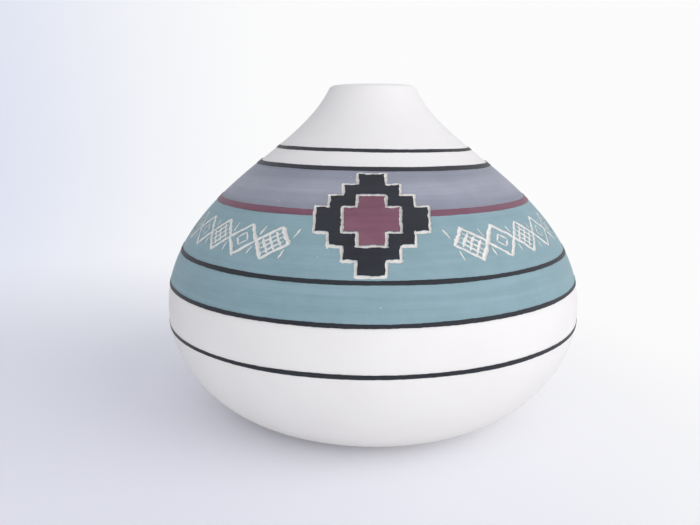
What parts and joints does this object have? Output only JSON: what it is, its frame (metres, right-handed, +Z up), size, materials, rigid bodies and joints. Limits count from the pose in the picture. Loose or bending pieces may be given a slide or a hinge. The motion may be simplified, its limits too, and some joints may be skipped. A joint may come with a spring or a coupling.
{
  "type": "etched pottery vase",
  "caption": "Squat round clay vase with a narrow rolled mouth, painted line bands and stepped diamonds on the shoulder, and scratched decoration down to the bare clay.",
  "frame": {"origin": "centre of the foot ring, on the table that the vase stands on", "axes": "+Z up along the vase's axis, front toward -Y, +X to the right as seen from the front"},
  "size_m": [0.1412, 0.1412, 0.11],
  "materials": {
    "bare_clay": "matte fired white clay",
    "clear_glaze": "thin clear glaze",
    "charcoal_slip": "matte brushed slip",
    "sky_slip": "matte brushed slip",
    "maroon_slip": "matte brushed slip",
    "turquoise_slip": "matte brushed slip"
  },
  "bodies": {
    "root": {"clay_body": "bare_clay", "inner_glaze": "clear_glaze", "neck_line": "charcoal_slip", "shoulder_line": "charcoal_slip", "middle_line": "charcoal_slip", "belly_line": "charcoal_slip", "lower_line": "charcoal_slip", "sky_coat": "sky_slip", "maroon_line": "maroon_slip", "upper_turquoise_coat": "turquoise_slip", "lower_turquoise_coat": "turquoise_slip", "medallion_border_1": "charcoal_slip", "medallion_core_1": "maroon_slip", "medallion_border_2": "charcoal_slip", "medallion_core_2": "maroon_slip", "medallion_border_3": "charcoal_slip", "medallion_core_3": "maroon_slip"}
  },
  "joints": []
}
